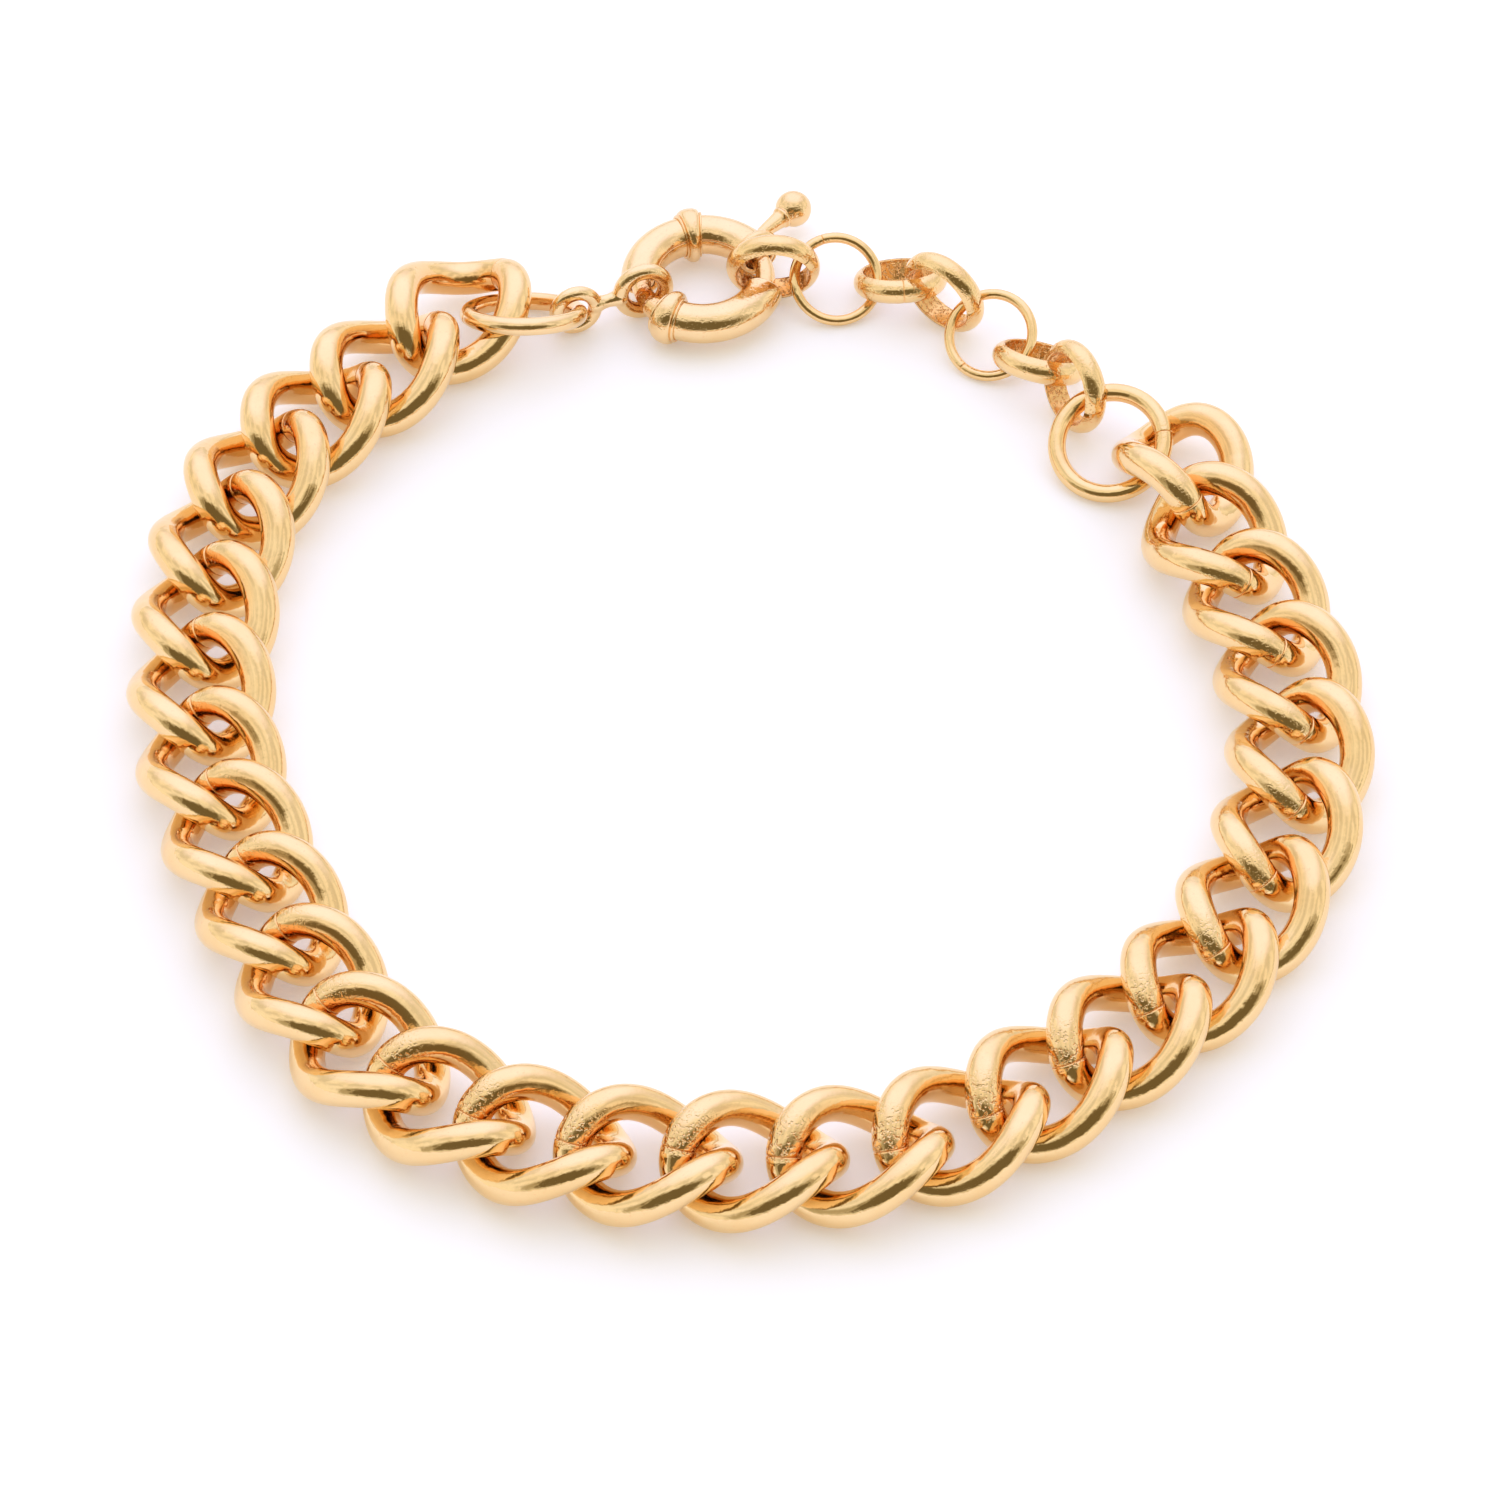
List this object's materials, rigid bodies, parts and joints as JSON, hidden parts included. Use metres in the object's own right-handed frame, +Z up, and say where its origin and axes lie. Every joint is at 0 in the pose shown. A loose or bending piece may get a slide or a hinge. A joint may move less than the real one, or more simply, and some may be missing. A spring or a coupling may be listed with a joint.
{
  "type": "chain necklace",
  "caption": "Gold-tone curb chain necklace lying fastened in a loop, with a sailor clasp and a short extender of rings and half-round links.",
  "frame": {"origin": "middle of the outline seen from above, on the surface the necklace lies on", "axes": "+Z up, +Y from the front of the loop to the clasp, +X towards the extender side"},
  "size_m": [0.1426, 0.1578, 0.0115],
  "materials": {
    "gold_chain": "polished gold-tone plating",
    "gold_clasp": "polished gold-tone plating",
    "gold_extender": "polished gold-tone plating",
    "steel_spring": "spring wire"
  },
  "bodies": {
    "curb_link_16": {"curb_link_16": "gold_chain"},
    "curb_link_15": {"curb_link_15": "gold_chain"},
    "curb_link_14": {"curb_link_14": "gold_chain"},
    "curb_link_13": {"curb_link_13": "gold_chain"},
    "curb_link_12": {"curb_link_12": "gold_chain"},
    "curb_link_11": {"curb_link_11": "gold_chain"},
    "curb_link_10": {"curb_link_10": "gold_chain"},
    "curb_link_09": {"curb_link_09": "gold_chain"},
    "curb_link_08": {"curb_link_08": "gold_chain"},
    "curb_link_07": {"curb_link_07": "gold_chain"},
    "curb_link_06": {"curb_link_06": "gold_chain"},
    "curb_link_05": {"curb_link_05": "gold_chain"},
    "curb_link_04": {"curb_link_04": "gold_chain"},
    "curb_link_03": {"curb_link_03": "gold_chain"},
    "curb_link_02": {"curb_link_02": "gold_chain"},
    "curb_link_01": {"curb_link_01": "gold_chain"},
    "clasp_jump_ring": {"clasp_jump_ring": "gold_clasp"},
    "clasp_connector": {"clasp_connector": "gold_clasp"},
    "clasp": {"clasp_neck": "gold_clasp", "clasp_upper_tube": "gold_clasp", "clasp_lower_tube": "gold_clasp", "clasp_bead_top": "gold_clasp", "clasp_bead_mouth": "gold_clasp", "clasp_bead_lower": "gold_clasp", "clasp_spring": "steel_spring"},
    "clasp_bolt": {"clasp_bolt": "gold_clasp", "clasp_trigger": "gold_clasp"},
    "curb_link_17": {"curb_link_17": "gold_chain"},
    "curb_link_18": {"curb_link_18": "gold_chain"},
    "curb_link_19": {"curb_link_19": "gold_chain"},
    "curb_link_20": {"curb_link_20": "gold_chain"},
    "curb_link_21": {"curb_link_21": "gold_chain"},
    "curb_link_22": {"curb_link_22": "gold_chain"},
    "curb_link_23": {"curb_link_23": "gold_chain"},
    "curb_link_24": {"curb_link_24": "gold_chain"},
    "curb_link_25": {"curb_link_25": "gold_chain"},
    "curb_link_26": {"curb_link_26": "gold_chain"},
    "curb_link_27": {"curb_link_27": "gold_chain"},
    "curb_link_28": {"curb_link_28": "gold_chain"},
    "extender_ring_3": {"extender_ring_3": "gold_extender"},
    "rolo_link_5": {"rolo_link_5": "gold_extender"},
    "rolo_link_4": {"rolo_link_4": "gold_extender"},
    "extender_ring_2": {"extender_ring_2": "gold_extender"},
    "rolo_link_3": {"rolo_link_3": "gold_extender"},
    "rolo_link_2": {"rolo_link_2": "gold_extender"},
    "extender_ring_1": {"extender_ring_1": "gold_extender"},
    "rolo_link_1": {"rolo_link_1": "gold_extender"}
  },
  "joints": [
    {"name": "bend_15_16", "type": "hinge", "parent": "curb_link_16", "child": "curb_link_15", "pos_m": [-0.00496, -0.06977, 0.0048], "axis": [0, 0, 1], "range_deg": [-1.02, 1.02]},
    {"name": "bend_14_15", "type": "hinge", "parent": "curb_link_15", "child": "curb_link_14", "pos_m": [-0.01634, -0.06837, 0.0048], "axis": [0, 0, 1], "range_deg": [-1.31, 1.31]},
    {"name": "bend_13_14", "type": "hinge", "parent": "curb_link_14", "child": "curb_link_13", "pos_m": [-0.02723, -0.06489, 0.0048], "axis": [0, 0, 1], "range_deg": [-1.02, 1.02]},
    {"name": "bend_12_13", "type": "hinge", "parent": "curb_link_13", "child": "curb_link_12", "pos_m": [-0.03695, -0.05893, 0.0048], "axis": [0, 0, 1], "range_deg": [-1.04, 1.04]},
    {"name": "bend_11_12", "type": "hinge", "parent": "curb_link_12", "child": "curb_link_11", "pos_m": [-0.04476, -0.05063, 0.0048], "axis": [0, 0, 1], "range_deg": [-1.08, 1.08]},
    {"name": "bend_10_11", "type": "hinge", "parent": "curb_link_11", "child": "curb_link_10", "pos_m": [-0.05057, -0.04076, 0.0048], "axis": [0, 0, 1], "range_deg": [-1.13, 1.13]},
    {"name": "bend_09_10", "type": "hinge", "parent": "curb_link_10", "child": "curb_link_09", "pos_m": [-0.05525, -0.03026, 0.0048], "axis": [0, 0, 1], "range_deg": [-1.38, 1.38]},
    {"name": "bend_08_09", "type": "hinge", "parent": "curb_link_09", "child": "curb_link_08", "pos_m": [-0.05918, -0.01946, 0.0048], "axis": [0, 0, 1], "range_deg": [-2.93, 2.93]},
    {"name": "fold_left", "type": "hinge", "parent": "curb_link_08", "child": "curb_link_07", "pos_m": [-0.06176, -0.00829, 0.0048], "axis": [0.9999, 0.0137, 0], "range_deg": [0, 15]},
    {"name": "bend_06_07", "type": "hinge", "parent": "curb_link_07", "child": "curb_link_06", "pos_m": [-0.06266, 0.00315, 0.0048], "axis": [0, 0, 1], "range_deg": [-1.21, 1.21]},
    {"name": "bend_05_06", "type": "hinge", "parent": "curb_link_06", "child": "curb_link_05", "pos_m": [-0.06206, 0.01461, 0.0048], "axis": [0, 0, 1], "range_deg": [-1.68, 1.68]},
    {"name": "bend_04_05", "type": "hinge", "parent": "curb_link_05", "child": "curb_link_04", "pos_m": [-0.05958, 0.02577, 0.0048], "axis": [0, 0, 1], "range_deg": [-4.35, 4.35]},
    {"name": "bend_03_04", "type": "hinge", "parent": "curb_link_04", "child": "curb_link_03", "pos_m": [-0.05446, 0.03594, 0.0048], "axis": [0, 0, 1], "range_deg": [-3.7, 3.7]},
    {"name": "bend_02_03", "type": "hinge", "parent": "curb_link_03", "child": "curb_link_02", "pos_m": [-0.04724, 0.04485, 0.0048], "axis": [0, 0, 1], "range_deg": [-5.12, 5.12]},
    {"name": "bend_01_02", "type": "hinge", "parent": "curb_link_02", "child": "curb_link_01", "pos_m": [-0.03876, 0.05263, 0.00615], "axis": [0, 0, 1], "range_deg": [-1.23, 1.23]},
    {"name": "bend_jump_ring", "type": "hinge", "parent": "curb_link_01", "child": "clasp_jump_ring", "pos_m": [-0.03049, 0.06345, 0.0024], "axis": [0, 0, 1], "range_deg": [-1.04, 1.04]},
    {"name": "clasp_roll", "type": "hinge", "parent": "clasp_jump_ring", "child": "clasp_connector", "pos_m": [-0.02085, 0.0595, 0.00401], "axis": [0.9455, 0.3173, -0.0734], "range_deg": [-20, 6]},
    {"name": "clasp_swing", "type": "hinge", "parent": "clasp_connector", "child": "clasp", "pos_m": [-0.01233, 0.06214, 0.00225], "axis": [0, 0, 1], "range_deg": [-1.65, 1.65]},
    {"name": "bolt_slide", "type": "hinge", "parent": "clasp", "child": "clasp_bolt", "pos_m": [-0.0054, 0.0648, 0.00345], "axis": [0, 0, 1], "range_deg": [0, 36], "stiffness_Nm_per_rad": 0.0036, "springref_deg": -34.38, "deforming": ["clasp_spring"]},
    {"name": "bend_16_17", "type": "hinge", "parent": "curb_link_16", "child": "curb_link_17", "pos_m": [0.00651, -0.06952, 0.0048], "axis": [0, 0, 1], "range_deg": [-7, 7]},
    {"name": "bend_17_18", "type": "hinge", "parent": "curb_link_17", "child": "curb_link_18", "pos_m": [0.01771, -0.06724, 0.0048], "axis": [0, 0, 1], "range_deg": [-5.98, 5.98]},
    {"name": "bend_18_19", "type": "hinge", "parent": "curb_link_18", "child": "curb_link_19", "pos_m": [0.02803, -0.06238, 0.0048], "axis": [0, 0, 1], "range_deg": [-1.18, 1.18]},
    {"name": "bend_19_20", "type": "hinge", "parent": "curb_link_19", "child": "curb_link_20", "pos_m": [0.03734, -0.05567, 0.0048], "axis": [0, 0, 1], "range_deg": [-1.11, 1.11]},
    {"name": "bend_20_21", "type": "hinge", "parent": "curb_link_20", "child": "curb_link_21", "pos_m": [0.04584, -0.04795, 0.0048], "axis": [0, 0, 1], "range_deg": [-1.61, 1.61]},
    {"name": "bend_21_22", "type": "hinge", "parent": "curb_link_21", "child": "curb_link_22", "pos_m": [0.05305, -0.03905, 0.0048], "axis": [0, 0, 1], "range_deg": [-2.37, 2.37]},
    {"name": "bend_22_23", "type": "hinge", "parent": "curb_link_22", "child": "curb_link_23", "pos_m": [0.05842, -0.02894, 0.0048], "axis": [0, 0, 1], "range_deg": [-1.18, 1.18]},
    {"name": "bend_23_24", "type": "hinge", "parent": "curb_link_23", "child": "curb_link_24", "pos_m": [0.06167, -0.01798, 0.0048], "axis": [0, 0, 1], "range_deg": [-6.1, 6.1]},
    {"name": "fold_right", "type": "hinge", "parent": "curb_link_24", "child": "curb_link_25", "pos_m": [0.06237, -0.00659, 0.0048], "axis": [0.9999, 0.0137, 0], "range_deg": [0, 15]},
    {"name": "bend_25_26", "type": "hinge", "parent": "curb_link_25", "child": "curb_link_26", "pos_m": [0.06053, 0.00471, 0.0048], "axis": [0, 0, 1], "range_deg": [-0.81, 0.81]},
    {"name": "bend_26_27", "type": "hinge", "parent": "curb_link_26", "child": "curb_link_27", "pos_m": [0.05688, 0.01559, 0.0048], "axis": [0, 0, 1], "range_deg": [-5.68, 5.68]},
    {"name": "bend_27_28", "type": "hinge", "parent": "curb_link_27", "child": "curb_link_28", "pos_m": [0.05151, 0.02629, 0.00524], "axis": [0, 0, 1], "range_deg": [-0.77, 0.77]},
    {"name": "extender_ring_3_roll", "type": "hinge", "parent": "curb_link_28", "child": "extender_ring_3", "pos_m": [0.04836, 0.03703, 0.00416], "axis": [-0.872, 0.477, 0.1102], "range_deg": [-5, 5]},
    {"name": "extender_ring_3_counter_roll", "type": "hinge", "parent": "extender_ring_3", "child": "rolo_link_5", "pos_m": [0.04073, 0.0412, 0.00513], "axis": [-0.872, 0.477, 0.1102], "range_deg": [-5, 5]},
    {"name": "bend_rolo_5_4", "type": "hinge", "parent": "rolo_link_5", "child": "rolo_link_4", "pos_m": [0.03721, 0.04766, 0.00506], "axis": [0, 0, 1], "range_deg": [-3.44, 3.44]},
    {"name": "extender_ring_2_roll", "type": "hinge", "parent": "rolo_link_4", "child": "extender_ring_2", "pos_m": [0.03222, 0.05292, 0.00266], "axis": [-0.6827, 0.6976, 0.2174], "range_deg": [-6, 5]},
    {"name": "extender_ring_2_counter_roll", "type": "hinge", "parent": "extender_ring_2", "child": "rolo_link_3", "pos_m": [0.02696, 0.0583, 0.00433], "axis": [-0.6827, 0.6976, 0.2174], "range_deg": [-5, 6]},
    {"name": "bend_rolo_3_2", "type": "hinge", "parent": "rolo_link_3", "child": "rolo_link_2", "pos_m": [0.0218, 0.06277, 0.00402], "axis": [0, 0, 1], "range_deg": [-1.53, 1.53]},
    {"name": "extender_ring_1_roll", "type": "hinge", "parent": "rolo_link_2", "child": "extender_ring_1", "pos_m": [0.01459, 0.0645, 0.00293], "axis": [-0.9939, -0.0146, 0.1096], "range_deg": [-8, 6]},
    {"name": "extender_ring_1_counter_roll", "type": "hinge", "parent": "extender_ring_1", "child": "rolo_link_1", "pos_m": [0.00675, 0.06438, 0.0038], "axis": [-0.9939, -0.0146, 0.1096], "range_deg": [-6, 8]}
  ],
  "couplings": [
    {"joint": "bend_15_16", "follows": "bend_16_17", "ratio": -0.144},
    {"joint": "bend_14_15", "follows": "bend_16_17", "ratio": -0.185},
    {"joint": "bend_13_14", "follows": "bend_16_17", "ratio": -0.143},
    {"joint": "bend_12_13", "follows": "bend_16_17", "ratio": -0.146},
    {"joint": "bend_11_12", "follows": "bend_16_17", "ratio": -0.152},
    {"joint": "bend_10_11", "follows": "bend_16_17", "ratio": 0.159},
    {"joint": "bend_09_10", "follows": "bend_16_17", "ratio": 0.195},
    {"joint": "bend_08_09", "follows": "bend_16_17", "ratio": 0.416},
    {"joint": "fold_left", "follows": "fold_right", "ratio": 1},
    {"joint": "bend_06_07", "follows": "bend_16_17", "ratio": -0.171},
    {"joint": "bend_05_06", "follows": "bend_16_17", "ratio": 0.238},
    {"joint": "bend_04_05", "follows": "bend_16_17", "ratio": 0.62},
    {"joint": "bend_03_04", "follows": "bend_16_17", "ratio": 0.526},
    {"joint": "bend_02_03", "follows": "bend_16_17", "ratio": -0.729},
    {"joint": "bend_01_02", "follows": "bend_16_17", "ratio": -0.174},
    {"joint": "bend_jump_ring", "follows": "bend_16_17", "ratio": -0.147},
    {"joint": "clasp_swing", "follows": "bend_16_17", "ratio": -0.233},
    {"joint": "bend_17_18", "follows": "bend_16_17", "ratio": -0.852},
    {"joint": "bend_18_19", "follows": "bend_16_17", "ratio": -0.167},
    {"joint": "bend_19_20", "follows": "bend_16_17", "ratio": 0.157},
    {"joint": "bend_20_21", "follows": "bend_16_17", "ratio": 0.228},
    {"joint": "bend_21_22", "follows": "bend_16_17", "ratio": 0.337},
    {"joint": "bend_22_23", "follows": "bend_16_17", "ratio": 0.167},
    {"joint": "bend_23_24", "follows": "bend_16_17", "ratio": -0.869},
    {"joint": "bend_25_26", "follows": "bend_16_17", "ratio": 0.114},
    {"joint": "bend_26_27", "follows": "bend_16_17", "ratio": -0.809},
    {"joint": "bend_27_28", "follows": "bend_16_17", "ratio": -0.108},
    {"joint": "extender_ring_3_counter_roll", "follows": "extender_ring_3_roll", "ratio": -1},
    {"joint": "bend_rolo_5_4", "follows": "bend_16_17", "ratio": 0.489},
    {"joint": "extender_ring_2_counter_roll", "follows": "extender_ring_2_roll", "ratio": -1},
    {"joint": "bend_rolo_3_2", "follows": "bend_16_17", "ratio": 0.216},
    {"joint": "extender_ring_1_counter_roll", "follows": "extender_ring_1_roll", "ratio": -1}
  ]
}
